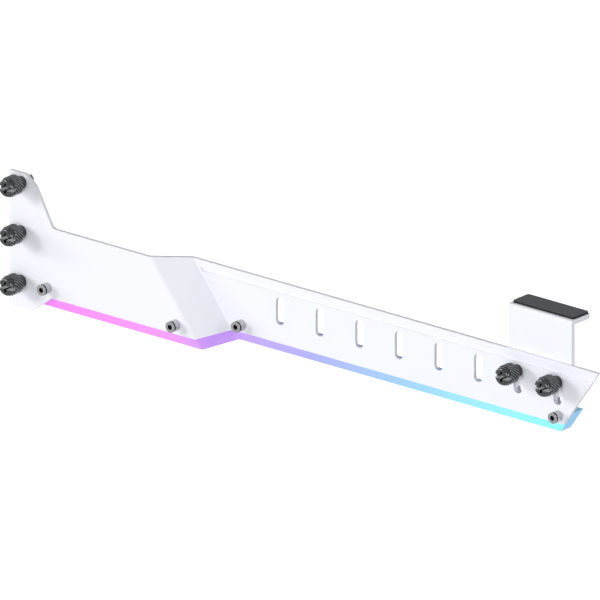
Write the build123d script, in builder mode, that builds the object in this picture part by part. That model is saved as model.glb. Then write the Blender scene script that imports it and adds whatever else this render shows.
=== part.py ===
"""Graphics card support bracket.

A folded side plate screws to the computer case in place of three expansion slot
screws. An L-shaped arm hangs behind it from two of its slots and carries the card.
A light guide with a strip of LED chips follows the plate's lower edge.

Frame: +X along the bracket, +Y into the case, +Z up. The origin is on the axis of
the middle case thumbscrew, where it leaves the back face of the plate.
All sizes are in millimetres, all angles in degrees.
"""

import os
from math import cos, radians, sin, tan

from build123d import *

# Side plate: sheet and bends
SHEET = 1.5
BEND_ANGLE = 45.0
BEND_LEAN = 38.7
BEND_INNER_RADIUS = 0.8
JOG = 10.25
FIRST_BEND_X = 64.57

# Side plate: outline in the front view
CASE_SCREW_PITCH = 20.32
HEAD_EDGE = 6.33
HEAD_ABOVE_SCREW = 3.72
HEAD_BELOW_SCREW = 11.17
HEAD_TOP_WIDTH = 8.2
HEAD_CUT_RUN = 5.43
HEAD_CUT_DROP = 4.14
HEAD_SLANT_RUN = 8.27
HEAD_BOTTOM_WIDTH = 11.8
HEAD_FOOT_RUN = 9.7
HEAD_FILLET = 2.5
HEAD_CORNER_RADIUS = 2.5
CORNER_RADIUS = 0.4
PLATE_LENGTH = 288.95
BAR_TOP = 4.6
LEFT_BAR_HEIGHT = 28.75
RIGHT_BAR_HEIGHT = 25.1
END_SLANT_RUN = 17.69

# Side plate: slots, groove and holes
SLOT_COUNT = 8
SLOT_PITCH = 20.0
SLOT_WIDTH = 4.0
SLOT_DROP = 6.2
SLOT_ABOVE_EDGE = 7.5
LAST_SLOT_TO_TIP = 20.82
GROOVE_WIDTH = 1.25
GROOVE_DROP = 3.1
GROOVE_DEPTH = 0.5
GROOVE_FROM_BEND = 1.1
CASE_HOLE_RADIUS = 1.9

# Thumbscrews, all with the same head
THREAD_RADIUS = 1.75
COLLAR_RADIUS = 2.55
COLLAR_LENGTH = 3.4
GRIP_RADIUS = 4.1
GRIP_LENGTH = 4.6
GRIP_CHAMFER = 0.25
BOSS_RADIUS = 3.65
BOSS_LENGTH = 1.9
BOSS_ROUND = 1.0
DRIVE_DEPTH = 2.3
DRIVE_SLOT_WIDTH = 1.6
DRIVE_CROSS_WIDTH = 1.1
DRIVE_CROSS_SPAN = 4.1
CASE_THREAD_LENGTH = 4.0
CASE_NECK_RADIUS = 1.4
ARM_THREAD_BEYOND_ARM = 1.0
THREAD_CHAMFER = 0.3
RUNNING_CLEARANCE = 0.04

# Support arm and its pad
ARM_WIDTH = 32.0
ARM_THICKNESS = 2.0
ARM_DEPTH = 11.6
ARM_TOP = 22.4
ARM_ABOVE_GUIDE = 0.85
ARM_FOOT_MARGIN = 2.5
ARM_OUTER_RADIUS = 1.2
ARM_INNER_RADIUS = 0.4
ARM_CORNER_RADIUS = 1.0
ARM_SPARE_HOLE_RADIUS = 1.4
SLOT_END_GAP = 0.15
PAD_SIDE_INSET = 0.6
PAD_FRONT_INSET = 1.76
PAD_REAR_INSET = 0.25
PAD_THICKNESS = 0.9
PAD_CORNER_RADIUS = 1.0

# Light guide
GUIDE_DEPTH = 6.0
GUIDE_BELOW_LEFT = 4.0
GUIDE_BELOW_RIGHT = 3.8
LEFT_EDGE_MARGIN = 4.0
RIGHT_EDGE_MARGIN = 3.2
GUIDE_ABOVE_SCREW = 2.3
GUIDE_BEFORE_SCREW = 5.0

# Cap screws of the light guide and their threaded inserts
GUIDE_SCREW_1_X = 13.1
GUIDE_SCREW_2_BEFORE_BEND = 6.3
GUIDE_SCREW_3_AFTER_BEND = 7.3
GUIDE_SCREW_4_TO_TIP = 20.12
CAP_THREAD_RADIUS = 1.25
CAP_HOLE_CLEARANCE = 0.1
CAP_BODY_RADIUS = 2.2
CAP_RIM_RADIUS = 2.38
CAP_RIM_LENGTH = 0.8
CAP_HEAD_LENGTH = 3.9
CAP_EDGE = 0.3
CAP_SOCKET_WIDTH = 2.0
CAP_SOCKET_DEPTH = 1.3
CAP_SCREW_LENGTH = 7.0
INSERT_RADIUS = 1.75
INSERT_LENGTH = 4.0
INSERT_CLEARANCE = 0.03

# LED strip and its chips
STRIP_WIDTH = 3.0
STRIP_THICKNESS = 0.3
STRIP_SIDE_GAP = 0.1
STRIP_ABOVE_EDGE = 2.3
STRIP_END_MARGIN = 3.0
CHIP_SIZE = 2.0
CHIP_HEIGHT = 0.8
CHIPS_ON_LEFT = 4
CHIPS_ON_RIGHT = 11
CHIP_BEND_GAP = 1.5

# Bend geometry. Distances across the bends are measured along ACROSS, square to the bend lines.
LEAN_COS = cos(radians(BEND_LEAN))
LEAN_SIN = sin(radians(BEND_LEAN))
HALF_BEND_TAN = tan(radians(BEND_ANGLE / 2))
FIRST_BEND = FIRST_BEND_X * LEAN_COS + BAR_TOP * LEAN_SIN
SECOND_BEND = FIRST_BEND + JOG / tan(radians(BEND_ANGLE))
ACROSS = (LEAN_COS, 0, LEAN_SIN)
ALONG_BEND = (-LEAN_SIN, 0, LEAN_COS)
FRONT_LEFT = -SHEET
FRONT_RIGHT = JOG - SHEET

# Heights and ends that several pieces share
LEFT_BOTTOM = BAR_TOP - LEFT_BAR_HEIGHT
RIGHT_BOTTOM = BAR_TOP - RIGHT_BAR_HEIGHT
TIP_X = PLATE_LENGTH - HEAD_EDGE
END_SLOPE = END_SLANT_RUN / RIGHT_BAR_HEIGHT
LEFT_SCREW_Z = LEFT_BOTTOM + LEFT_EDGE_MARGIN
RIGHT_SCREW_Z = RIGHT_BOTTOM + RIGHT_EDGE_MARGIN
SLOT_TOP = BAR_TOP - SLOT_DROP
SLOT_LENGTH = SLOT_TOP - SLOT_ABOVE_EDGE - RIGHT_BOTTOM
LAST_SLOT_X = TIP_X - LAST_SLOT_TO_TIP
REACH = 2 * PLATE_LENGTH
GUIDE_BACK = SHEET + GUIDE_DEPTH
CHANNEL_DEPTH = CHIP_HEIGHT + STRIP_THICKNESS

os.makedirs("parts", exist_ok=True)


def save(piece, name):
    """Label a finished piece and write its STEP file."""
    piece.label = name
    export_step(piece, f"parts/{name}.step")


def front_plane(x, y, z):
    """A plane that faces the front at a point, with X to the right and Y up."""
    return Plane(origin=(x, y, z), x_dir=(1, 0, 0), z_dir=(0, -1, 0))


def side_section(x, y, z):
    """A plane through a screw's axis: its X runs out of the plate towards the front, its Y is the radius."""
    return Plane(origin=(x, y, z), x_dir=(0, -1, 0), z_dir=(-1, 0, 0))


def bend_x(bend, z, depth=0.0):
    """X of a bend line at height z, on the surface that lies the given depth behind the plate's front."""
    return (bend - depth * HALF_BEND_TAN - z * LEAN_SIN) / LEAN_COS


def end_x(z):
    """X of the plate's slanted right end at height z."""
    return TIP_X - (BAR_TOP - z) * END_SLOPE


def layer_edge(depth):
    """One side of a layer's section: straight, round both bends, straight."""
    shift = depth * HALF_BEND_TAN
    left_y = FRONT_LEFT + depth
    right_y = FRONT_RIGHT + depth
    first_radius = max(BEND_INNER_RADIUS + SHEET - depth, BEND_INNER_RADIUS)
    second_radius = BEND_INNER_RADIUS + depth
    return FilletPolyline(
        (-REACH, left_y),
        (FIRST_BEND - shift, left_y),
        (SECOND_BEND - shift, right_y),
        (REACH, right_y),
        radius=[first_radius, second_radius],
    )


def layer_section(near, far):
    """Section, square to the bend lines, of a layer between two depths behind the plate's front face."""
    with BuildSketch(Plane(origin=(0, 0, 0), x_dir=ACROSS, z_dir=ALONG_BEND)) as section:
        with BuildLine():
            front = layer_edge(near)
            back = layer_edge(far)
            Line(front @ 0, back @ 0)
            Line(front @ 1, back @ 1)
        make_face()
    return section.sketch


def band(left_z, right_z, start_x, end_margin, depth):
    """Front view of a bar that follows the bends: (bottom, top) heights on the left and on the right."""
    left_bottom, left_top = left_z
    right_bottom, right_top = right_z
    with BuildSketch(Plane.XZ) as view:
        with BuildLine():
            Polyline(
                (start_x, left_bottom),
                (bend_x(FIRST_BEND, left_bottom, depth), left_bottom),
                (bend_x(SECOND_BEND, right_bottom, depth), right_bottom),
                (end_x(right_bottom) - end_margin, right_bottom),
                (end_x(right_top) - end_margin, right_top),
                (bend_x(SECOND_BEND, right_top, depth), right_top),
                (bend_x(FIRST_BEND, left_top, depth), left_top),
                (start_x, left_top),
                close=True,
            )
        make_face()
    return view.sketch


# Side plate
head_top = CASE_SCREW_PITCH + HEAD_ABOVE_SCREW
head_bottom = -CASE_SCREW_PITCH - HEAD_BELOW_SCREW
head_top_x = HEAD_TOP_WIDTH - HEAD_EDGE
head_cut_x = head_top_x + HEAD_CUT_RUN
head_cut_z = head_top - HEAD_CUT_DROP
head_inner_x = head_cut_x + HEAD_SLANT_RUN
head_foot_x = HEAD_BOTTOM_WIDTH - HEAD_EDGE
round_corners = [
    (head_top_x, head_top, HEAD_CORNER_RADIUS),
    (head_cut_x, head_cut_z, HEAD_CORNER_RADIUS),
    (head_inner_x, BAR_TOP, HEAD_FILLET),
]

guide_left_z = (LEFT_BOTTOM - GUIDE_BELOW_LEFT, LEFT_SCREW_Z + GUIDE_ABOVE_SCREW)
guide_right_z = (RIGHT_BOTTOM - GUIDE_BELOW_RIGHT, RIGHT_SCREW_Z + GUIDE_ABOVE_SCREW)
guide_screw_seats = [
    (GUIDE_SCREW_1_X, FRONT_LEFT, LEFT_SCREW_Z),
    (bend_x(FIRST_BEND, LEFT_SCREW_Z) - GUIDE_SCREW_2_BEFORE_BEND, FRONT_LEFT, LEFT_SCREW_Z),
    (bend_x(SECOND_BEND, RIGHT_SCREW_Z) + GUIDE_SCREW_3_AFTER_BEND, FRONT_RIGHT, RIGHT_SCREW_Z),
    (TIP_X - GUIDE_SCREW_4_TO_TIP, FRONT_RIGHT, RIGHT_SCREW_Z),
]
guide_screw_holes = [(x, z) for x, y, z in guide_screw_seats]

with BuildPart() as side_plate:
    extrude(layer_section(0, SHEET), amount=REACH, both=True)
    with BuildSketch(Plane.XZ) as plate_outline:
        with BuildLine():
            Polyline(
                (-HEAD_EDGE, head_top),
                (head_top_x, head_top),
                (head_cut_x, head_cut_z),
                (head_inner_x, BAR_TOP),
                (TIP_X, BAR_TOP),
                (end_x(RIGHT_BOTTOM), RIGHT_BOTTOM),
                (bend_x(SECOND_BEND, RIGHT_BOTTOM), RIGHT_BOTTOM),
                (bend_x(FIRST_BEND, LEFT_BOTTOM), LEFT_BOTTOM),
                (head_foot_x + HEAD_FOOT_RUN, LEFT_BOTTOM),
                (head_foot_x, head_bottom),
                (-HEAD_EDGE, head_bottom),
                close=True,
            )
        make_face()
        corners = plate_outline.vertices()
        for x, z, radius in round_corners:
            corners = corners.sort_by_distance((x, z, 0))[1:]
        fillet(corners, CORNER_RADIUS)
        for x, z, radius in round_corners:
            fillet(plate_outline.vertices().sort_by_distance((x, z, 0))[0], radius)
    extrude(amount=REACH, both=True, mode=Mode.INTERSECT)
    with BuildSketch(Plane.XZ):
        with GridLocations(0, CASE_SCREW_PITCH, 1, 3):
            Circle(CASE_HOLE_RADIUS)
        with Locations(*guide_screw_holes):
            Circle(CAP_THREAD_RADIUS + CAP_HOLE_CLEARANCE)
        with Locations((LAST_SLOT_X - (SLOT_COUNT - 1) * SLOT_PITCH / 2, SLOT_TOP - SLOT_LENGTH / 2)):
            with GridLocations(SLOT_PITCH, 0, SLOT_COUNT, 1):
                SlotOverall(SLOT_LENGTH, SLOT_WIDTH, rotation=90)
    extrude(amount=REACH, both=True, mode=Mode.SUBTRACT)
    groove_top = BAR_TOP - GROOVE_DROP
    groove_bottom = groove_top - GROOVE_WIDTH
    groove_start = SECOND_BEND + GROOVE_FROM_BEND
    with BuildSketch(Plane.XZ.offset(-FRONT_RIGHT)):
        with BuildLine():
            Polyline(
                (bend_x(groove_start, groove_top), groove_top),
                (TIP_X + SHEET, groove_top),
                (TIP_X + SHEET, groove_bottom),
                (bend_x(groove_start, groove_bottom), groove_bottom),
                close=True,
            )
        make_face()
    extrude(amount=-GROOVE_DEPTH, mode=Mode.SUBTRACT)
save(side_plate.part, "side_plate")


# Thumbscrews
def thumbscrew(x, y, z, shank):
    """Knurled thumbscrew whose collar seats at the point. The shank's outline is given from the seat backwards."""
    grip_end = COLLAR_LENGTH + GRIP_LENGTH
    head_length = grip_end + BOSS_LENGTH
    with BuildPart() as screw:
        with BuildSketch(side_section(x, y, z)):
            with BuildLine():
                Polyline(
                    *shank,
                    (0, COLLAR_RADIUS),
                    (COLLAR_LENGTH, COLLAR_RADIUS),
                    (COLLAR_LENGTH, GRIP_RADIUS - GRIP_CHAMFER),
                    (COLLAR_LENGTH + GRIP_CHAMFER, GRIP_RADIUS),
                    (grip_end - GRIP_CHAMFER, GRIP_RADIUS),
                    (grip_end, GRIP_RADIUS - GRIP_CHAMFER),
                    (grip_end, BOSS_RADIUS),
                    (head_length - BOSS_ROUND, BOSS_RADIUS),
                )
                RadiusArc(
                    (head_length - BOSS_ROUND, BOSS_RADIUS),
                    (head_length, BOSS_RADIUS - BOSS_ROUND),
                    BOSS_ROUND,
                )
                Polyline((head_length, BOSS_RADIUS - BOSS_ROUND), (head_length, 0), shank[0])
            make_face()
        revolve(axis=Axis((x, y, z), (0, 1, 0)))
        with BuildSketch(front_plane(x, y - head_length, z)):
            Rectangle(2 * GRIP_RADIUS, DRIVE_SLOT_WIDTH)
            Rectangle(DRIVE_CROSS_WIDTH, DRIVE_CROSS_SPAN)
        extrude(amount=-DRIVE_DEPTH, mode=Mode.SUBTRACT)
    return screw.part


case_end = SHEET + CASE_THREAD_LENGTH
case_shank = [
    (-case_end, 0),
    (-case_end, THREAD_RADIUS - THREAD_CHAMFER),
    (THREAD_CHAMFER - case_end, THREAD_RADIUS),
    (-SHEET, THREAD_RADIUS),
    (-SHEET, CASE_NECK_RADIUS),
    (0, CASE_NECK_RADIUS),
]
for row, name in enumerate(["bottom", "middle", "top"]):
    seat_z = (row - 1) * CASE_SCREW_PITCH
    save(thumbscrew(0, FRONT_LEFT, seat_z, case_shank), f"case_thumbscrew_{name}")

arm_screw_z = SLOT_TOP - THREAD_RADIUS - SLOT_END_GAP
arm_end = SHEET + ARM_THICKNESS + ARM_THREAD_BEYOND_ARM
arm_shank = [
    (-arm_end, 0),
    (-arm_end, THREAD_RADIUS - THREAD_CHAMFER),
    (THREAD_CHAMFER - arm_end, THREAD_RADIUS),
    (0, THREAD_RADIUS),
]
arm_screw_columns = {"left": LAST_SLOT_X - SLOT_PITCH, "right": LAST_SLOT_X}
for name, column_x in arm_screw_columns.items():
    save(thumbscrew(column_x, FRONT_RIGHT, arm_screw_z, arm_shank), f"arm_thumbscrew_{name}")


# Support arm
arm_center_x = LAST_SLOT_X - SLOT_PITCH / 2
arm_left_x = arm_center_x - ARM_WIDTH / 2
arm_front = JOG
arm_back = JOG + ARM_DEPTH
arm_foot = guide_right_z[1] + ARM_ABOVE_GUIDE
spare_row_z = arm_foot + ARM_FOOT_MARGIN
flange_bottom = ARM_TOP - ARM_THICKNESS
leg_back = arm_front + ARM_THICKNESS

with BuildPart() as support_arm:
    with BuildSketch(Plane.YZ.offset(arm_left_x)) as arm_profile:
        with BuildLine():
            Polyline(
                (arm_front, arm_foot),
                (arm_front, ARM_TOP),
                (arm_back, ARM_TOP),
                (arm_back, flange_bottom),
                (leg_back, flange_bottom),
                (leg_back, arm_foot),
                close=True,
            )
        make_face()
        outer = arm_profile.vertices().sort_by_distance((arm_front, ARM_TOP, 0))[0]
        fillet(outer, ARM_OUTER_RADIUS)
        inside = arm_profile.vertices().sort_by_distance((leg_back, flange_bottom, 0))[0]
        fillet(inside, ARM_INNER_RADIUS)
    extrude(amount=ARM_WIDTH)
    rear_corners = support_arm.edges().filter_by(Axis.Z).group_by(Axis.Y)[-1]
    foot_corners = support_arm.edges().filter_by(Axis.Y).group_by(Axis.Z)[0]
    fillet(rear_corners + foot_corners, ARM_CORNER_RADIUS)
    with BuildSketch(front_plane(arm_center_x, arm_front, arm_screw_z)):
        with GridLocations(SLOT_PITCH, 0, 2, 1):
            Circle(THREAD_RADIUS + RUNNING_CLEARANCE)
        with Locations((0, spare_row_z - arm_screw_z)):
            with GridLocations(SLOT_PITCH, 0, 2, 1):
                Circle(ARM_SPARE_HOLE_RADIUS)
    extrude(amount=-ARM_THICKNESS, mode=Mode.SUBTRACT)
save(support_arm.part, "support_arm")


# Pad on the arm
pad_depth = ARM_DEPTH - PAD_FRONT_INSET - PAD_REAR_INSET
pad_center_y = arm_front + PAD_FRONT_INSET + pad_depth / 2
with BuildPart() as arm_pad:
    with BuildSketch(Plane(origin=(arm_center_x, pad_center_y, ARM_TOP))):
        RectangleRounded(ARM_WIDTH - 2 * PAD_SIDE_INSET, pad_depth, PAD_CORNER_RADIUS)
    extrude(amount=PAD_THICKNESS)
save(arm_pad.part, "arm_pad")


# Light guide
guide_start_x = GUIDE_SCREW_1_X - GUIDE_BEFORE_SCREW
channel_half = STRIP_WIDTH / 2 + STRIP_SIDE_GAP
strip_left_z = guide_left_z[0] + STRIP_ABOVE_EDGE
strip_right_z = guide_right_z[0] + STRIP_ABOVE_EDGE


def strip_band(half_width, end_margin, depth):
    """Front view of the strip or of its channel, about the strip's centre line."""
    left_z = (strip_left_z - half_width, strip_left_z + half_width)
    right_z = (strip_right_z - half_width, strip_right_z + half_width)
    return band(left_z, right_z, guide_start_x, end_margin, depth)


with BuildPart() as led_channel:
    extrude(layer_section(GUIDE_BACK - CHANNEL_DEPTH, GUIDE_BACK + SHEET), amount=REACH, both=True)
    extrude(
        strip_band(channel_half, STRIP_END_MARGIN, GUIDE_BACK),
        amount=REACH,
        both=True,
        mode=Mode.INTERSECT,
    )

with BuildPart() as light_guide:
    extrude(layer_section(SHEET, GUIDE_BACK), amount=REACH, both=True)
    extrude(
        band(guide_left_z, guide_right_z, guide_start_x, 0, SHEET),
        amount=REACH,
        both=True,
        mode=Mode.INTERSECT,
    )
    with BuildSketch(Plane.XZ):
        with Locations(*guide_screw_holes):
            Circle(CAP_THREAD_RADIUS + CAP_HOLE_CLEARANCE)
    extrude(amount=REACH, both=True, mode=Mode.SUBTRACT)
    for x, y, z in guide_screw_seats:
        with BuildSketch(front_plane(x, y + GUIDE_BACK, z)):
            Circle(INSERT_RADIUS + INSERT_CLEARANCE)
        extrude(amount=INSERT_LENGTH, mode=Mode.SUBTRACT)
    add(led_channel.part, mode=Mode.SUBTRACT)
save(light_guide.part, "light_guide")


# LED strip
with BuildPart() as led_strip:
    extrude(layer_section(GUIDE_BACK - STRIP_THICKNESS, GUIDE_BACK), amount=REACH, both=True)
    extrude(
        strip_band(STRIP_WIDTH / 2, STRIP_END_MARGIN + STRIP_SIDE_GAP, GUIDE_BACK),
        amount=REACH,
        both=True,
        mode=Mode.INTERSECT,
    )
save(led_strip.part, "led_strip")


# LED chips. They stand on the strip's front face and point forwards into the guide.
chip_depth = GUIDE_BACK - STRIP_THICKNESS
chip_left_y = FRONT_LEFT + chip_depth
chip_right_y = FRONT_RIGHT + chip_depth
panel_start = Vector(bend_x(FIRST_BEND, strip_left_z, chip_depth), chip_left_y, strip_left_z)
panel_end = Vector(bend_x(SECOND_BEND, strip_right_z, chip_depth), chip_right_y, strip_right_z)
panel_direction = (panel_end - panel_start).normalized()
panel_front = panel_direction.cross(Vector(*ALONG_BEND)).normalized()

left_pitch = (panel_start.X - CHIP_BEND_GAP - guide_start_x) / CHIPS_ON_LEFT
right_run_start = panel_end.X + CHIP_BEND_GAP
right_run_end = end_x(strip_right_z) - STRIP_END_MARGIN
right_pitch = (right_run_end - right_run_start) / CHIPS_ON_RIGHT

chip_planes = []
for step in range(CHIPS_ON_LEFT):
    chip_x = guide_start_x + (step + 0.5) * left_pitch
    chip_planes.append(front_plane(chip_x, chip_left_y, strip_left_z))
chip_planes.append(Plane(origin=(panel_start + panel_end) * 0.5, x_dir=panel_direction, z_dir=panel_front))
for step in range(CHIPS_ON_RIGHT):
    chip_x = right_run_start + (step + 0.5) * right_pitch
    chip_planes.append(front_plane(chip_x, chip_right_y, strip_right_z))

for number, plane in enumerate(chip_planes, start=1):
    with BuildPart() as led_chip:
        with BuildSketch(plane):
            Rectangle(CHIP_SIZE, CHIP_SIZE)
        extrude(amount=CHIP_HEIGHT)
    save(led_chip.part, f"led_chip_{number:02d}")


# Cap screws that hold the light guide, and the threaded inserts in the guide's back
cap_body_end = CAP_HEAD_LENGTH - CAP_RIM_LENGTH
for number, (x, y, z) in enumerate(guide_screw_seats, start=1):
    with BuildPart() as guide_screw:
        with BuildSketch(side_section(x, y, z)):
            with BuildLine():
                Polyline(
                    (-CAP_SCREW_LENGTH, 0),
                    (-CAP_SCREW_LENGTH, CAP_THREAD_RADIUS),
                    (0, CAP_THREAD_RADIUS),
                    (0, CAP_BODY_RADIUS),
                    (cap_body_end, CAP_BODY_RADIUS),
                    (cap_body_end, CAP_RIM_RADIUS),
                    (CAP_HEAD_LENGTH - CAP_EDGE, CAP_RIM_RADIUS),
                )
                RadiusArc(
                    (CAP_HEAD_LENGTH - CAP_EDGE, CAP_RIM_RADIUS),
                    (CAP_HEAD_LENGTH, CAP_RIM_RADIUS - CAP_EDGE),
                    CAP_EDGE,
                )
                Polyline((CAP_HEAD_LENGTH, CAP_RIM_RADIUS - CAP_EDGE), (CAP_HEAD_LENGTH, 0), (-CAP_SCREW_LENGTH, 0))
            make_face()
        revolve(axis=Axis((x, y, z), (0, 1, 0)))
        with BuildSketch(front_plane(x, y - CAP_HEAD_LENGTH, z)):
            RegularPolygon(CAP_SOCKET_WIDTH / 2, 6, major_radius=False, rotation=30)
        extrude(amount=-CAP_SOCKET_DEPTH, mode=Mode.SUBTRACT)
    save(guide_screw.part, f"guide_screw_{number}")

    with BuildPart() as guide_insert:
        with BuildSketch(front_plane(x, y + GUIDE_BACK, z)):
            Circle(INSERT_RADIUS)
            Circle(CAP_THREAD_RADIUS + INSERT_CLEARANCE, mode=Mode.SUBTRACT)
        extrude(amount=INSERT_LENGTH)
    save(guide_insert.part, f"guide_insert_{number}")
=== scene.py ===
"""Looks of the graphics card support bracket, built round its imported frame.

The folded sheet, the arm and the light guide keep the frame's shape with broken edges.
The thumbscrews, cap screws and pad are modelled here in full and stand for their nodes.
Sizes of the pieces are in millimetres; the scene itself, with its lamps, is in metres.
"""

import sys

import logging
import math
from collections.abc import Callable, Sequence
from dataclasses import dataclass
from enum import Enum

import bmesh
import bpy
from mathutils import Matrix, Vector

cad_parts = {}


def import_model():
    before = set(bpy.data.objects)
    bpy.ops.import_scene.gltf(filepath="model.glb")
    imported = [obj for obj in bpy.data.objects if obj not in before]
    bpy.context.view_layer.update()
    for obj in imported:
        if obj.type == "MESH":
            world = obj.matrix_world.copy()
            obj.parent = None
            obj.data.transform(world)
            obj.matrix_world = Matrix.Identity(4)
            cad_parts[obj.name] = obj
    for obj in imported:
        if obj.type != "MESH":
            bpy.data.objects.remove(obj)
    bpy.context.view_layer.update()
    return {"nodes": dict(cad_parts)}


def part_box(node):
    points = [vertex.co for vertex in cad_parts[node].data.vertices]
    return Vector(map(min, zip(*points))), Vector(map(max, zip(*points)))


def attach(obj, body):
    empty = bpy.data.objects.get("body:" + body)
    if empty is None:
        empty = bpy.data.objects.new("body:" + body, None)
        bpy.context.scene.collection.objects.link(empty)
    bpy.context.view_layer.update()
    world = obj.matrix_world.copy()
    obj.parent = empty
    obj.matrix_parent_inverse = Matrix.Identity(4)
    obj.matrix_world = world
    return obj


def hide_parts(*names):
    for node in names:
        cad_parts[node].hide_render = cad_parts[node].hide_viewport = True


log = logging.getLogger("bracket")

Colour = tuple[float, float, float]
Point = tuple[float, float, float]

MM = 0.001

# Nearness, in millimetres, at which points merge, a cut closes, and a height or radius is matched.
MERGE_WITHIN = 0.0005
CUT_WITHIN = 0.0001
SAME_WITHIN = 0.001
NEAR_WITHIN = 0.01

# Angle in degrees under which neighbouring faces of a node are one flat face.
FLAT_WITHIN = 0.2

# Height in millimetres by which a cutter stands out of what it cuts.
CUTTER_ABOVE = 1

# Front faces of the plate's two halves and the places of the thumbscrews, in millimetres.
LEFT_FRONT = -1.5
RIGHT_FRONT = 8.75
COVER_PITCH = 20.32
ARM_SCREW_X = (241.8, 261.8)
ARM_SCREW_Z = -3.5

# Seat point of each screw, and the body of each thumbscrew.
CASE_SEATS: dict[str, tuple[Point, str]] = {
    "case_thumbscrew_top": ((0, LEFT_FRONT, COVER_PITCH), "case_screw_top"),
    "case_thumbscrew_middle": ((0, LEFT_FRONT, 0), "case_screw_middle"),
    "case_thumbscrew_bottom": ((0, LEFT_FRONT, -COVER_PITCH), "case_screw_bottom"),
}
ARM_SEATS: dict[str, tuple[Point, str]] = {
    "arm_thumbscrew_left": ((ARM_SCREW_X[0], RIGHT_FRONT, ARM_SCREW_Z), "arm_screw_left"),
    "arm_thumbscrew_right": ((ARM_SCREW_X[1], RIGHT_FRONT, ARM_SCREW_Z), "arm_screw_right"),
}
GUIDE_SEATS: dict[str, Point] = {
    "guide_screw_1": (13.1, LEFT_FRONT, -20.15),
    "guide_screw_2": (78.1, LEFT_FRONT, -20.15),
    "guide_screw_3": (102.55, RIGHT_FRONT, -17.3),
    "guide_screw_4": (262.5, RIGHT_FRONT, -17.3),
}

WHITE: Colour = (1.0, 1.0, 1.0)


class Part(Enum):
    """What an edit mode selection picks."""

    POINTS = "VERT"
    EDGES = "EDGE"
    FACES = "FACE"


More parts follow.
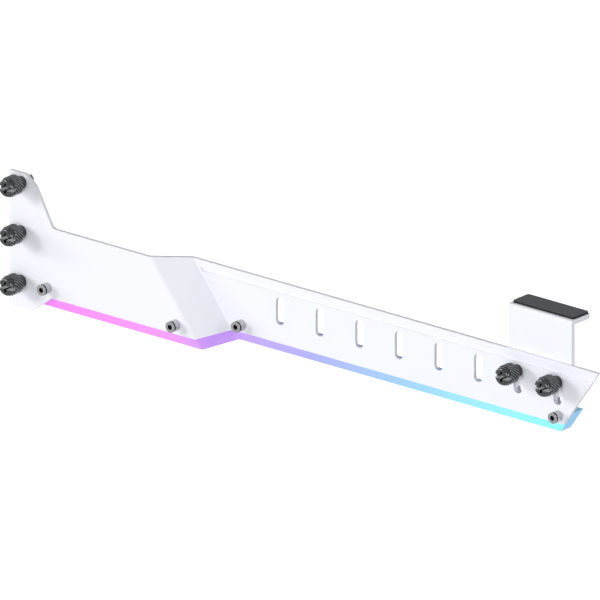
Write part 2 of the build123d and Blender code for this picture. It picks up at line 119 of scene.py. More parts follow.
class Workpiece:
    """A mesh that is shaped on the bench with Blender's own edit mode tools."""

    def __init__(self, name: str) -> None:
        """Take over the active object.

        Args:
            name: Name of the finished piece.
        """
        self.object = bpy.context.active_object
        self.object.name = name
        self.object.data.name = name

    @classmethod
    def ring(cls, name: str, radius: float, height: float, sides: int) -> "Workpiece":
        """Start from an open ring round Z, in edit mode with all of it selected.

        Args:
            name: Name of the finished piece.
            radius: Radius in millimetres.
            height: Height of the ring in millimetres.
            sides: Number of its sides.

        Returns:
            The piece on the bench.
        """
        clear_selection()
        bpy.ops.mesh.primitive_circle_add(vertices=sides, radius=radius * MM, location=(0, 0, height * MM))
        piece = cls(name)
        piece.settle()
        piece.edit(Part.POINTS)
        bpy.ops.mesh.select_all(action="SELECT")
        return piece

    @classmethod
    def block(cls, name: str, low: Point, high: Point) -> "Workpiece":
        """Start from a block between two corners.

        Args:
            name: Name of the finished piece.
            low: Lowest corner in millimetres.
            high: Highest corner in millimetres.

        Returns:
            The piece on the bench, in object mode.
        """
        clear_selection()
        middle = (Vector(low) + Vector(high)) / 2 * MM
        size = (Vector(high) - Vector(low)) * MM
        bpy.ops.mesh.primitive_cube_add(size=1, location=middle, scale=size)
        piece = cls(name)
        piece.settle()
        return piece

    @classmethod
    def prism(cls, name: str, radius: float, low: float, high: float, sides: int) -> "Workpiece":
        """Start from an upright prism round Z.

        Args:
            name: Name of the finished piece.
            radius: Radius of its corners in millimetres.
            low: Height of its lower end in millimetres.
            high: Height of its upper end in millimetres.
            sides: Number of its sides.

        Returns:
            The piece on the bench, in object mode.
        """
        clear_selection()
        bpy.ops.mesh.primitive_cylinder_add(
            vertices=sides,
            radius=radius * MM,
            depth=(high - low) * MM,
            location=(0, 0, (high + low) / 2 * MM),
        )
        piece = cls(name)
        piece.settle()
        return piece

    @classmethod
    def from_node(cls, name: str, node: bpy.types.Object) -> "Workpiece":
        """Start from a merged copy of a frame node.

        Args:
            name: Name of the finished piece.
            node: The frame's object, which is left alone.

        Returns:
            The piece on the bench, with flat faces in one piece each.
        """
        clear_selection()
        copy = bpy.data.objects.new(name, node.data.copy())
        bpy.context.scene.collection.objects.link(copy)
        bpy.context.view_layer.objects.active = copy
        copy.select_set(True)
        piece = cls(name)
        piece.object.data.materials.clear()
        piece.edit(Part.POINTS)
        bpy.ops.mesh.select_all(action="SELECT")
        bpy.ops.mesh.remove_doubles(threshold=MERGE_WITHIN * MM)
        bpy.ops.mesh.customdata_custom_splitnormals_clear()
        bpy.ops.mesh.dissolve_limited(angle_limit=math.radians(FLAT_WITHIN))
        piece.leave_edit()
        return piece

    def settle(self) -> None:
        """Put the object at the origin, with its place in its mesh."""
        bpy.context.view_layer.update()
        self.object.data.transform(self.object.matrix_world)
        self.object.matrix_world = Matrix.Identity(4)

    def edit(self, part: Part) -> None:
        """Enter edit mode with one kind of element.

        Args:
            part: Kind of element.
        """
        bpy.context.view_layer.objects.active = self.object
        self.object.select_set(True)
        bpy.ops.object.mode_set(mode="EDIT")
        bpy.ops.mesh.select_mode(type=part.value)

    def leave_edit(self) -> None:
        """Go back to object mode."""
        bpy.ops.object.mode_set(mode="OBJECT")

    def pick(self, part: Part, wanted: Callable[[Vector], bool]) -> None:
        """Select the elements whose middle passes a test.

        Args:
            part: Kind of element.
            wanted: Test of the element's middle, in millimetres.
        """
        bpy.ops.mesh.select_mode(type=part.value)
        bpy.ops.mesh.select_all(action="DESELECT")
        mesh = bmesh.from_edit_mesh(self.object.data)
        if part is Part.POINTS:
            for point in mesh.verts:
                point.select = wanted(point.co / MM)
        elif part is Part.EDGES:
            for edge in mesh.edges:
                edge.select = wanted((edge.verts[0].co + edge.verts[1].co) / 2 / MM)
        else:
            for face in mesh.faces:
                face.select = wanted(face.calc_center_median() / MM)
        mesh.select_flush_mode()
        bmesh.update_edit_mesh(self.object.data)

    def grow(self, outline: Sequence[tuple[float, float]], radius: float, height: float) -> None:
        """Extrude the selected ring through an outline of further rings.

        Args:
            outline: Radius and height of each further ring, in millimetres.
            radius: Radius of the selected ring.
            height: Height of the selected ring.
        """
        for next_radius, next_height in outline:
            rise = (0, 0, (next_height - height) * MM)
            bpy.ops.mesh.extrude_region_move(TRANSFORM_OT_translate={"value": rise})
            share = next_radius / radius
            bpy.ops.transform.resize(value=(share, share, 1), center_override=(0, 0, next_height * MM))
            radius, height = next_radius, next_height

    def close_ring(self) -> None:
        """Fill the selected ring with a flat face."""
        bpy.ops.mesh.edge_face_add()

    def join(self, other: "Workpiece") -> None:
        """Join another piece into this one.

        Args:
            other: The piece that is used up.
        """
        clear_selection()
        other.object.select_set(True)
        self.object.select_set(True)
        bpy.context.view_layer.objects.active = self.object
        bpy.ops.object.join()

    def cut(self, cutter: "Workpiece") -> None:
        """Cut another piece out of this one. The cutter is used up."""
        self.modify("BOOLEAN", operation="DIFFERENCE", solver="EXACT", object=cutter.object)
        bpy.data.objects.remove(cutter.object)

    def break_edges(self, width: float, segments: int = 2, sharper_than: float = 30) -> None:
        """Round the sharp edges a little, as paint or plating does.

        Args:
            width: Width of the rounding in millimetres.
            segments: Faces across it.
            sharper_than: Smallest edge angle that counts, in degrees.
        """
        self.modify(
            "BEVEL",
            width=width * MM,
            segments=segments,
            limit_method="ANGLE",
            angle_limit=math.radians(sharper_than),
            miter_outer="MITER_ARC",
            use_clamp_overlap=True,
        )

    def modify(self, kind: str, **settings: object) -> None:
        """Add one modifier, set it and apply it.

        Args:
            kind: Blender's name of the modifier type.
            settings: Its values by name.
        """
        clear_selection()
        self.object.select_set(True)
        bpy.context.view_layer.objects.active = self.object
        modifier = self.object.modifiers.new(kind.title(), kind)
        for name, value in settings.items():
            setattr(modifier, name, value)
        bpy.ops.object.modifier_apply(modifier=modifier.name)

    def shade(self, angle: float = 30) -> None:
        """Smooth the shading across blunt edges, and keep flats flat.

        Args:
            angle: Smallest edge angle that stays sharp, in degrees.
        """
        clear_selection()
        self.object.select_set(True)
        bpy.context.view_layer.objects.active = self.object
        bpy.ops.object.shade_smooth_by_angle(angle=math.radians(angle))
        self.modify("WEIGHTED_NORMAL", keep_sharp=True)

    def close_up(self) -> None:
        """Merge doubled points and turn all faces outwards."""
        self.edit(Part.POINTS)
        bpy.ops.mesh.select_all(action="SELECT")
        bpy.ops.mesh.remove_doubles(threshold=MERGE_WITHIN * MM)
        bpy.ops.mesh.normals_make_consistent(inside=False)
        self.leave_edit()

    def paint(self, finish: "Finish", wanted: Callable[[Vector], bool] | None = None) -> None:
        """Give the piece a finish, or only those faces whose middle passes a test.

        Args:
            finish: The finish.
            wanted: Test of a face's middle in millimetres, or None for the whole piece.
        """
        mesh = self.object.data
        if wanted is None:
            mesh.materials.clear()
        mesh.materials.append(finish.material())
        for face in mesh.polygons:
            if wanted is None or wanted(face.center / MM):
                face.material_index = len(mesh.materials) - 1

    def copy_to(self, name: str, place: Matrix) -> bpy.types.Object:
        """Make a copy with its own mesh, set in its place.

        Args:
            name: Name of the copy.
            place: Where the copy's mesh goes.

        Returns:
            The copy.
        """
        copy = bpy.data.objects.new(name, self.object.data.copy())
        copy.data.name = name
        copy.data.transform(place)
        bpy.context.scene.collection.objects.link(copy)
        return copy

    def discard(self) -> None:
        """Remove the pattern piece once its copies are made."""
        bpy.data.objects.remove(self.object)


def clear_selection() -> None:
    """Deselect every object."""
    for other in bpy.context.selected_objects:
        other.select_set(False)


def on_front(x: float, y: float, z: float) -> Matrix:
    """Place a screw modelled along +Z so that its head faces the front.

    Args:
        x: Seat point in millimetres.
        y: Seat point in millimetres.
        z: Seat point in millimetres.

    Returns:
        The matrix for its mesh.
    """
    return Matrix.Translation(Vector((x, y, z)) * MM) @ Matrix.Rotation(math.pi / 2, 4, "X")


def rounded_rim(radius: float, top: float, rounding: float, steps: int) -> list[tuple[float, float]]:
    """Outline a head's rim, from its side over a quarter round to its top.

    Args:
        radius: Radius of the head in millimetres.
        top: Height of its top.
        rounding: Radius of the quarter round.
        steps: Number of straight runs across it.

    Returns:
        Radius and height of each ring.
    """
    outline = []
    for step in range(steps + 1):
        angle = step / steps * math.pi / 2
        outline.append((radius - rounding * (1 - math.cos(angle)), top - rounding * (1 - math.sin(angle))))
    return outline


class Graph:
    """A material's or group's nodes, added and linked by short calls."""

    def __init__(self, tree: bpy.types.NodeTree) -> None:
        """Work on a node tree."""
        self.tree = tree

    def add(self, kind: str, **values: object) -> bpy.types.Node:
        """Add a node.

        Args:
            kind: Blender's node type without its ShaderNode prefix.
            values: Properties of the node, or input sockets by name with spaces as underscores.

        Returns:
            The node.
        """
        node = self.tree.nodes.new(f"ShaderNode{kind}")
        for name, value in values.items():
            if hasattr(node, name):
                setattr(node, name, value)
            else:
                self.feed(node, name.replace("_", " "), value)
        return node

    def feed(self, node: bpy.types.Node, name: str, value: object) -> None:
        """Link an output into a named input, or set the input's value.

        Args:
            node: The node that is fed.
            name: Name of its input socket.
            value: An output socket or a plain value.
        """
        socket = node.inputs[name]
        if isinstance(value, bpy.types.NodeSocket):
            self.tree.links.new(value, socket)
        elif isinstance(value, tuple) and len(value) == 3 and socket.type == "RGBA":
            socket.default_value = (*value, 1.0)
        else:
            socket.default_value = value

    def math(self, operation: str, first: object, second: object = 0.0) -> bpy.types.NodeSocket:
        """Combine two values.

        Args:
            operation: Blender's name of the operation.
            first: Output socket or number.
            second: Output socket or number.

        Returns:
            The result's socket.
        """
        node = self.tree.nodes.new("ShaderNodeMath")
        node.operation = operation
        for socket, value in zip(node.inputs, (first, second)):
            if isinstance(value, bpy.types.NodeSocket):
                self.tree.links.new(value, socket)
            else:
                socket.default_value = value
        return node.outputs[0]

    def ramp(
        self, value: bpy.types.NodeSocket, stops: Sequence[tuple[float, Colour]]
    ) -> bpy.types.NodeSocket:
        """Turn a value from 0 to 1 into a colour.

        Args:
            value: The value's socket.
            stops: Place and linear colour of each stop.

        Returns:
            The colour's socket.
        """
        node = self.add("ValToRGB", Fac=value)
        elements = node.color_ramp.elements
        while len(elements) < len(stops):
            elements.new(0.5)
        for element, (place, colour) in zip(elements, stops):
            element.position = place
            element.color = (*colour, 1.0)
        return node.outputs["Color"]


def linear(red: int, green: int, blue: int) -> Colour:
    """Turn a screen colour into a linear one.

    Args:
        red: Red from 0 to 255.
        green: Green from 0 to 255.
        blue: Blue from 0 to 255.

    Returns:
        The linear colour.
    """
    shares = [value / 255 for value in (red, green, blue)]
    turned = [s / 12.92 if s <= 0.04045 else ((s + 0.055) / 1.055) ** 2.4 for s in shares]
    return (turned[0], turned[1], turned[2])


def grain_group() -> bpy.types.NodeTree:
    """Make the shared fine grain of coats, plating, foam and plastic, once.

    Returns:
        The node group.
    """
    known = bpy.data.node_groups.get("Fine grain")
    if known:
        return known
    group = bpy.data.node_groups.new("Fine grain", "ShaderNodeTree")
    for name, way, kind in (
        ("Cell size mm", "INPUT", "Float"),
        ("Roughness", "INPUT", "Float"),
        ("Roughness spread", "INPUT", "Float"),
        ("Colour", "INPUT", "Color"),
        ("Colour spread", "INPUT", "Float"),
        ("Height", "OUTPUT", "Float"),
        ("Roughness", "OUTPUT", "Float"),
        ("Colour", "OUTPUT", "Color"),
    ):
        group.interface.new_socket(name, in_out=way, socket_type=f"NodeSocket{kind}")
    graph = Graph(group)
    given = group.nodes.new("NodeGroupInput").outputs
    result = group.nodes.new("NodeGroupOutput").inputs
    place = graph.add("TexCoord").outputs["Object"]
    frequency = graph.math("DIVIDE", 1 / MM, given["Cell size mm"])
    fine = graph.add("TexNoise", Vector=place, Scale=frequency, Detail=2.0, Roughness=0.55)
    broad = graph.add("TexNoise", Vector=place, Scale=90.0, Detail=3.0, Roughness=0.5)
    group.links.new(fine.outputs["Fac"], result["Height"])
    mixed = graph.math("ADD", fine.outputs["Fac"], broad.outputs["Fac"])
    centred = graph.math("SUBTRACT", mixed, 1.0)
    uneven = graph.math("MULTIPLY", centred, given["Roughness spread"])
    group.links.new(graph.math("ADD", given["Roughness"], uneven), result["Roughness"])
    bright = graph.math("ADD", 1.0, graph.math("MULTIPLY", centred, given["Colour spread"]))
    tint = graph.add("VectorMath", operation="SCALE")
    group.links.new(given["Colour"], tint.inputs["Vector"])
    group.links.new(bright, tint.inputs["Scale"])
    group.links.new(tint.outputs["Vector"], result["Colour"])
    return group


@dataclass(frozen=True)
class Finish:
    """A surface with fine grain in its height, gloss and colour."""

    name: str
    colour: Colour
    roughness: float
    roughness_spread: float = 0.06
    colour_spread: float = 0.02
    cell: float = 0.5
    relief: float = 0.004
    metallic: float = 0.0
    specular: float = 0.5

    def material(self) -> bpy.types.Material:
        """Make the material, once.

        Returns:
            The material.
        """
        known = bpy.data.materials.get(self.name)
        if known:
            return known
        material = bpy.data.materials.new(self.name)
        material.use_nodes = True
        graph = Graph(material.node_tree)
        shader = material.node_tree.nodes["Principled BSDF"]
        self.dress(graph, shader)
        return material

    def dress(self, graph: Graph, shader: bpy.types.Node) -> None:
        """Set the shader's inputs.

        Args:
            graph: The material's nodes.
            shader: Its Principled shader.
        """
        grain = graph.tree.nodes.new("ShaderNodeGroup")
        grain.node_tree = grain_group()
        graph.feed(grain, "Cell size mm", self.cell)
        graph.feed(grain, "Roughness", self.roughness)
        graph.feed(grain, "Roughness spread", self.roughness_spread)
        graph.feed(grain, "Colour", self.colour)
        graph.feed(grain, "Colour spread", self.colour_spread)
        bump = graph.add("Bump", Height=grain.outputs["Height"], Distance=self.relief * MM, Strength=1.0)
        graph.feed(shader, "Base Color", grain.outputs["Colour"])
        graph.feed(shader, "Roughness", grain.outputs["Roughness"])
        graph.feed(shader, "Normal", bump.outputs["Normal"])
        graph.feed(shader, "Metallic", self.metallic)
        graph.feed(shader, "Specular IOR Level", self.specular)


@dataclass(frozen=True)
class GlowingAcrylic(Finish):
    """Frosted acrylic that is lit from inside, with its colour changing along the bracket.

    A face takes the side's tint as its normal's Y goes through side_turn, and the top's painted
    shade as its normal's Z goes through top_turn; upward faces are painted darker, as painted shade.
    """

    start: float = 8.1
    end: float = 283.0
    glow: float = 0.46
    body: float = 0.45
    side_turn: tuple[float, float] = (-0.75, -0.35)
    side_tint: Colour = (0.86, 0.6, 0.97)
    # Painted shade: faces turned up are darkened by this tint, glow and body colour alike.
    top_turn: tuple[float, float] = (0.8, 0.95)
    top_painted_shade: Colour = (0.46, 0.59, 0.51)
    stops: tuple[tuple[float, Colour], ...] = ()

    def dress(self, graph: Graph, shader: bpy.types.Node) -> None:
        """Set the shader's inputs.

        Args:
            graph: The material's nodes.
            shader: Its Principled shader.
        """
        super().dress(graph, shader)
        place = graph.add("TexCoord").outputs
        axis = graph.add("SeparateXYZ", Vector=place["Object"]).outputs["X"]
        span = graph.add("MapRange", Value=axis, From_Min=self.start * MM, From_Max=self.end * MM)
        reach = self.end - self.start
        places = [((x - self.start) / reach, colour) for x, colour in self.stops]
        along = graph.ramp(span.outputs["Result"], places)
        facing = graph.add("SeparateXYZ", Vector=place["Normal"]).outputs
        colour = along
        for side, (first, last), tint in (
            ("Y", self.side_turn, self.side_tint),
            ("Z", self.top_turn, self.top_painted_shade),
        ):
            share = graph.add("MapRange", Value=facing[side], From_Min=first, From_Max=last)
            mixed = graph.add("VectorMath", operation="MULTIPLY")
            graph.tree.links.new(colour, mixed.inputs[0])
            tinted = graph.ramp(share.outputs["Result"], [(0.0, WHITE), (1.0, tint)])
            graph.tree.links.new(tinted, mixed.inputs[1])
            colour = mixed.outputs["Vector"]
        base = graph.add("VectorMath", operation="SCALE", Vector=colour, Scale=self.body)
        graph.feed(shader, "Base Color", base.outputs["Vector"])
        graph.feed(shader, "Emission Color", colour)
        graph.feed(shader, "Emission Strength", self.glow)


# Name, colour and roughness, then the spread of roughness and of colour, the grain's cell in
# millimetres and its relief in millimetres.
WHITE_COAT = Finish("White powder coat", (0.86, 0.875, 0.93), 0.4, cell=0.35, specular=0.17)
BLACK_GLOSS = Finish(
    "Black plated gloss", (0.055, 0.057, 0.059), 0.13, 0.03, 0.06, 0.3, 0.0006, metallic=1.0
)
BLACK_SATIN = Finish(
    "Black plated satin", (0.085, 0.086, 0.09), 0.24, 0.05, 0.1, 0.3, 0.001, metallic=1.0
)
# The knurl's valleys are painted near black and its crests light grey: painted shade and painted highlight
# that bring out the ridges.
KNURL_VALLEY_PAINTED_SHADE = Finish("Knurl valleys painted shade", (0.05, 0.051, 0.055), 0.4, 0.06, 0.1, 0.2, 0.002, metallic=1.0)
KNURL_CREST_PAINTED_HIGHLIGHT = Finish("Knurl crests painted highlight", (0.25, 0.25, 0.262), 0.32, 0.06, 0.1, 0.2, 0.002, metallic=1.0)
# Painted shade: the walls of the arm's spare tapped holes are a mid grey instead of white.
HOLE_WALL_PAINTED_SHADE = Finish("Tapped hole painted shade", (0.55, 0.55, 0.6), 0.5, cell=0.3, specular=0.2)
# Painted light: the slot's lower flank, which faces up, is light grey; the upper flank stays black.
LOWER_FLANK_PAINTED_LIGHT = Finish("Slot lower flank painted light", (0.76, 0.79, 0.81), 0.35, 0.06, 0.06, 0.3, 0.002, metallic=0.2)
# Painted shade: the cap screws' groove and hexagon socket are near black.
DEEP_SHADE = Finish("Recess painted shade", (0.012, 0.012, 0.014), 0.5, 0.08, 0.1, 0.2, 0.002, specular=0.2)
SATIN_STEEL = Finish("Satin steel", (0.245, 0.245, 0.25), 0.26, 0.05, 0.04, 0.3, 0.001, metallic=1.0)
POLISHED_STEEL = Finish("Polished steel", (0.5, 0.5, 0.51), 0.08, 0.04, 0.03, 0.3, 0.0006, metallic=1.0)
DARK_FOAM = Finish("Dark foam", (0.079, 0.0807, 0.09), 0.75, 0.1, 0.25, 0.22, 0.03, specular=0.3)
# Painted shade: the pad's sides are near black, darker than its top.
FOAM_SIDE_PAINTED_SHADE = Finish("Dark foam side painted shade", (0.012, 0.012, 0.014), 0.8, 0.1, 0.25, 0.22, 0.02, specular=0.2)
STRIP_FILM = Finish("Strip film", (0.8, 0.8, 0.78), 0.5, cell=0.4, relief=0.003)
CHIP_HOUSING = Finish("Chip housing", (0.85, 0.85, 0.8), 0.4, cell=0.2, relief=0.002)
BRASS = Finish("Turned brass", (0.72, 0.52, 0.22), 0.28, 0.08, 0.08, 0.15, 0.002, metallic=1.0)
LIGHT_GUIDE = GlowingAcrylic(
    "Frosted acrylic",
    WHITE,
    0.45,
    cell=0.3,
    relief=0.003,
    stops=(
        (18.0, linear(255, 142, 255)),
        (60.0, linear(253, 152, 254)),
        (80.0, linear(238, 158, 255)),
        (92.0, linear(206, 155, 255)),
        (105.0, linear(204, 168, 255)),
        (135.0, linear(176, 178, 255)),
        (160.0, linear(170, 197, 255)),
        (190.0, linear(160, 217, 254)),
        (210.0, linear(160, 234, 254)),
        (250.0, linear(148, 255, 255)),
    ),
)


@dataclass
class SheetWork:
    """The folded side plate and the support arm, in white powder coat.

    The arm's two spare tapped holes lie under its thumbscrews; their walls are painted grey, as painted
    shade.
    """

    edge: float = 0.09
    spare_above_foot: float = 2.5
    spare_radius: float = 1.4
    spare_slack: float = 0.02

    def build(self, nodes: dict[str, bpy.types.Object]) -> None:
        """Break the edges of both sheets and paint them.

        Args:
            nodes: The frame's nodes by name.
        """
        for node, body in (("side_plate", "bracket"), ("support_arm", "arm")):
            sheet = Workpiece.from_node(f"{node}_painted", nodes[node])
            sheet.break_edges(self.edge)
            sheet.shade(angle=35)
            sheet.paint(WHITE_COAT)
            if node == "support_arm":
                # Painted shade: the spare holes' walls are painted grey.
                sheet.paint(HOLE_WALL_PAINTED_SHADE, self.in_spare_hole)
            finish_piece(sheet.object, body, node)

    def in_spare_hole(self, place: Vector) -> bool:
        """Tell whether a point of the arm lies on the wall of a spare tapped hole.

        Args:
            place: The point in millimetres.

        Returns:
            True on the wall of one of the two holes.
        """
        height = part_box("support_arm")[0].z / MM + self.spare_above_foot
        reach = min(math.hypot(place.x - x, place.z - height) for x in ARM_SCREW_X)
        return reach < self.spare_radius + self.spare_slack


@dataclass(frozen=True)
class Thread:
    """An outside screw thread round Z.

    From the middle of the crest, crest_end and root_start are shares of half a pitch.
    """

    major: float
    minor: float
    pitch: float
    crest_end: float = 0.4
    root_start: float = 0.6
    profile_cuts: int = 7
    steps: int = 28
    spare_turns: int = 3

    def rod(self, name: str, low: float, high: float, point: float) -> Workpiece:
        """Wind the thread between two heights.

        Args:
            name: Name of the piece.
            low: Height of the screw's free end in millimetres.
            high: Height where it enters the head.
            point: Length of the tapered end.

        Returns:
            The threaded rod, closed at both ends.
        """
        clear_selection()
        bpy.ops.mesh.primitive_plane_add(size=self.pitch * MM, rotation=(math.pi / 2, 0, 0))
        rod = Workpiece(name)
        rod.settle()
        half = self.pitch / 2
        rod.edit(Part.EDGES)
        rod.pick(Part.EDGES, lambda middle: middle.x < half - NEAR_WITHIN)
        bpy.ops.mesh.delete(type="EDGE")
        bpy.ops.mesh.select_all(action="SELECT")
        bpy.ops.mesh.subdivide(number_cuts=self.profile_cuts)
        crest = (self.major - half) * MM
        root = (self.minor - half) * MM
        crest_end, root_start = half * self.crest_end, half * self.root_start
        for band, shift in (
            (lambda place: abs(place.z) < crest_end, crest),
            (lambda place: abs(place.z) > root_start, root),
            (lambda place: crest_end < abs(place.z) < root_start, (crest + root) / 2),
        ):
            rod.pick(Part.POINTS, band)
            bpy.ops.transform.translate(value=(shift, 0, 0))
        bpy.ops.mesh.select_all(action="SELECT")
        bpy.ops.transform.translate(value=(0, 0, (low - self.pitch) * MM))
        rod.leave_edit()
        rod.modify(
            "SCREW",
            angle=math.tau,
            screw_offset=self.pitch * MM,
            iterations=math.ceil((high - low) / self.pitch) + self.spare_turns,
            steps=self.steps,
            render_steps=self.steps,
            use_merge_vertices=False,
        )
        rod.edit(Part.POINTS)
        bpy.ops.mesh.select_all(action="SELECT")
        bpy.ops.mesh.remove_doubles(threshold=MERGE_WITHIN * MM)
        for height, side in ((low, -1), (high, 1)):
            bpy.ops.mesh.select_all(action="SELECT")
            bpy.ops.mesh.bisect(
                plane_co=(0, 0, height * MM),
                plane_no=(0, 0, side),
                use_fill=True,
                clear_outer=True,
                threshold=CUT_WITHIN * MM,
            )
        rod.pick(Part.POINTS, lambda place: place.z < low + SAME_WITHIN)
        share = (self.major - point) / self.major
        bpy.ops.transform.resize(value=(share, share, 1), center_override=(0, 0, low * MM))
        rod.leave_edit()
        return rod


@dataclass
class Thumbscrew:
    """A black thumbscrew with a knurled grip and a slotted, crossed boss. It is modelled along +Z."""

    collar: float = 2.55
    collar_length: float = 3.4
    collar_chamfer: float = 0.15
    grip: float = 4.1
    grip_length: float = 4.6
    chamfer: float = 0.25
    lower_inset: float = 0.1
    upper_inset: float = 0.05
    bore_inset: float = 0.3
    overlap: float = 0.05
    knurls: int = 17
    knurl_depth: float = 0.3
    knurl_turn: float = 48.0
    knurl_steps: int = 12
    ridge_points: int = 4
    boss: float = 3.65
    boss_length: float = 1.9
    boss_round: float = 1.0
    boss_edge: float = 0.09
    drive_depth: float = 3.0
    drive_floor: float = 0.4
    slot_width: float = 1.6
    flank_edge: float = 0.05
    cross_width: float = 1.1
    cross_span: float = 4.1
    # Length of the thread's free end that carries a painted highlight.
    highlight_end: float = 1.1
    thread: Thread = Thread(major=1.75, minor=1.42, pitch=0.794)

    def knurled_grip(self) -> Workpiece:
        """Model the grip with slanted ridges.

        Returns:
            The grip's pattern piece.
        """
        low, high = self.collar_length, self.collar_length + self.grip_length
        first, last = low + self.chamfer, high - self.chamfer
        shoulder = self.grip - self.chamfer
        root = self.grip - self.knurl_depth
        inner = self.collar - self.overlap
        grip = Workpiece.ring("grip", inner, low, sides=self.knurls * self.ridge_points)
        grip.grow([(shoulder - self.lower_inset, low), (root, first)], inner, low)
        self.scale_ridges(grip, self.grip / root, first)
        rise = (self.grip_length - 2 * self.chamfer) / self.knurl_steps
        turn = rise * math.tan(math.radians(self.knurl_turn)) / self.grip
        for _ in range(self.knurl_steps):
            bpy.ops.mesh.extrude_region_move(TRANSFORM_OT_translate={"value": (0, 0, rise * MM)})
            bpy.ops.transform.rotate(value=-turn, orient_axis="Z", center_override=(0, 0, 0))
        bpy.ops.mesh.extrude_region_move(TRANSFORM_OT_translate={"value": (0, 0, self.chamfer * MM)})
        middle = (self.grip + root) / 2
        grip.pick(
            Part.POINTS,
            lambda place: place.z > high - NEAR_WITHIN and math.hypot(place.x, place.y) > middle,
        )
        share = root / self.grip
        bpy.ops.transform.resize(value=(share, share, 1), center_override=(0, 0, high * MM))
        grip.pick(Part.EDGES, lambda place: place.z > high - NEAR_WITHIN)
        bore = self.boss - self.bore_inset
        top_face = [(shoulder - self.upper_inset, high), (bore, high), (bore, high - self.drive_depth)]
        grip.grow(top_face, root, high)
        grip.close_ring()
        grip.leave_edit()
        grip.shade(angle=25)
        # Painted shade in the valleys and a painted highlight on the crests and one flank; the chamfered
        # ends keep the black plating.
        grip.paint(KNURL_VALLEY_PAINTED_SHADE)
        grip.paint(KNURL_CREST_PAINTED_HIGHLIGHT, lambda place: self.ridge_share(place, first, turn / rise) < 0.5)
        grip.paint(BLACK_SATIN, lambda place: not first < place.z < last)
        return grip

    def ridge_share(self, place: Vector, start: float, twist: float) -> float:
        """Tell how far round a point lies between two ridges, with the ridges' twist taken out.

        Args:
            place: The point in millimetres.
            start: Height where the ridges' twist starts.
            twist: Turn of the ridges in radians per millimetre of height.

        Returns:
            A share from 0 to 1; the crest and one flank fill the first half.
        """
        angle = math.atan2(place.y, place.x) - twist * (place.z - start)
        return angle * self.knurls / math.tau % 1.0

    def scale_ridges(self, grip: Workpiece, share: float, height: float) -> None:
        """Pull every second pair of points of the selected ring out to the ridges' crests.

        Args:
            grip: The piece on the bench.
            share: Crest radius over root radius.
            height: Height of the ring in millimetres.
        """
        step = math.tau / (self.knurls * self.ridge_points)

        def on_ridge(place: Vector) -> bool:
            """Tell whether a point of the ring belongs to a ridge."""
            number = round(math.atan2(place.y, place.x) / step) % self.ridge_points
            return abs(place.z - height) < SAME_WITHIN and number < self.ridge_points / 2

        grip.pick(Part.POINTS, on_ridge)
        bpy.ops.transform.resize(value=(share, share, 1), center_override=(0, 0, height * MM))
        grip.pick(Part.EDGES, lambda place: abs(place.z - height) < SAME_WITHIN)

    def drive(self) -> list[Workpiece]:
        """Make the cutters of the slot and of the cross.

        Returns:
            The two cutters.
        """
        top = self.collar_length + self.grip_length + self.boss_length
        bottom = top - self.drive_depth
        cutters = []
        for name, half_x, half_y in (
            ("slot", self.grip, self.slot_width / 2),
            ("cross", self.cross_width / 2, self.cross_span / 2),
        ):
            upper = (half_x, half_y, top + CUTTER_ABOVE)
            cutters.append(Workpiece.block(name, (-half_x, -half_y, bottom), upper))
        return cutters

    def domed_boss(self) -> Workpiece:
        """Model the boss, a cheese head with a rounded rim, and cut its drive.

        Returns:
            The boss's pattern piece.
        """
        grip_top = self.collar_length + self.grip_length
        low = grip_top - self.drive_depth + self.boss_length - self.drive_floor
        top = grip_top + self.boss_length
        boss = Workpiece.ring("boss", self.boss, low, sides=96)
        boss.close_ring()
        boss.pick(Part.EDGES, lambda place: place.z < low + SAME_WITHIN)
        boss.grow(rounded_rim(self.boss, top, self.boss_round, steps=8), self.boss, low)
        boss.close_ring()
        boss.leave_edit()
        boss.close_up()
        for cutter in self.drive():
            boss.cut(cutter)
        boss.break_edges(self.boss_edge, segments=3, sharper_than=40)
        boss.shade(angle=30)
        flank = -self.slot_width / 2
        flank_top = top - self.flank_edge
        boss.paint(BLACK_GLOSS)
        # Painted light on the slot's lower flank, which faces up.
        boss.paint(
            LOWER_FLANK_PAINTED_LIGHT, lambda place: abs(place.y - flank) < NEAR_WITHIN and place.z < flank_top
        )
        return boss

    def shank(self, end: float, neck: float, neck_length: float) -> Workpiece:
        """Model the collar and the threaded shank.

        Args:
            end: Length of the shank behind the seat in millimetres.
            neck: Radius of the neck, or of the thread where there is no neck.
            neck_length: Length of the plain neck behind the seat.

        Returns:
            The shank's pattern piece.
        """
        collar = Workpiece.ring("shank", neck, -neck_length, sides=64)
        outline = [
            (neck, 0),
            (self.collar - self.collar_chamfer, 0),
            (self.collar, self.collar_chamfer),
            (self.collar, self.collar_length),
        ]
        collar.grow(outline, neck, -neck_length)
        collar.close_ring()
        collar.leave_edit()
        collar.join(self.thread.rod("rod", -end, -neck_length + self.overlap, point=0.3))
        collar.shade(angle=35)
        collar.paint(BLACK_SATIN)
        # Painted highlight: the last part of the thread, at the free end, is light steel.
        collar.paint(SATIN_STEEL, lambda place: place.z < self.highlight_end - end)
        return collar

    def build(
        self, seats: dict[str, tuple[Point, str]], shank: Workpiece, grip: Workpiece, boss: Workpiece
    ) -> None:
        """Copy the pattern pieces to their seats.

        Args:
            seats: Seat point and body of each node.
            shank: Pattern of the shank.
            grip: Pattern of the grip.
            boss: Pattern of the boss.
        """
        for node, (seat, body) in seats.items():
            place = on_front(*seat)
            for pattern, part in ((shank, "shank"), (grip, "grip"), (boss, "boss")):
                finish_piece(pattern.copy_to(f"{node}_{part}", place), body, node)


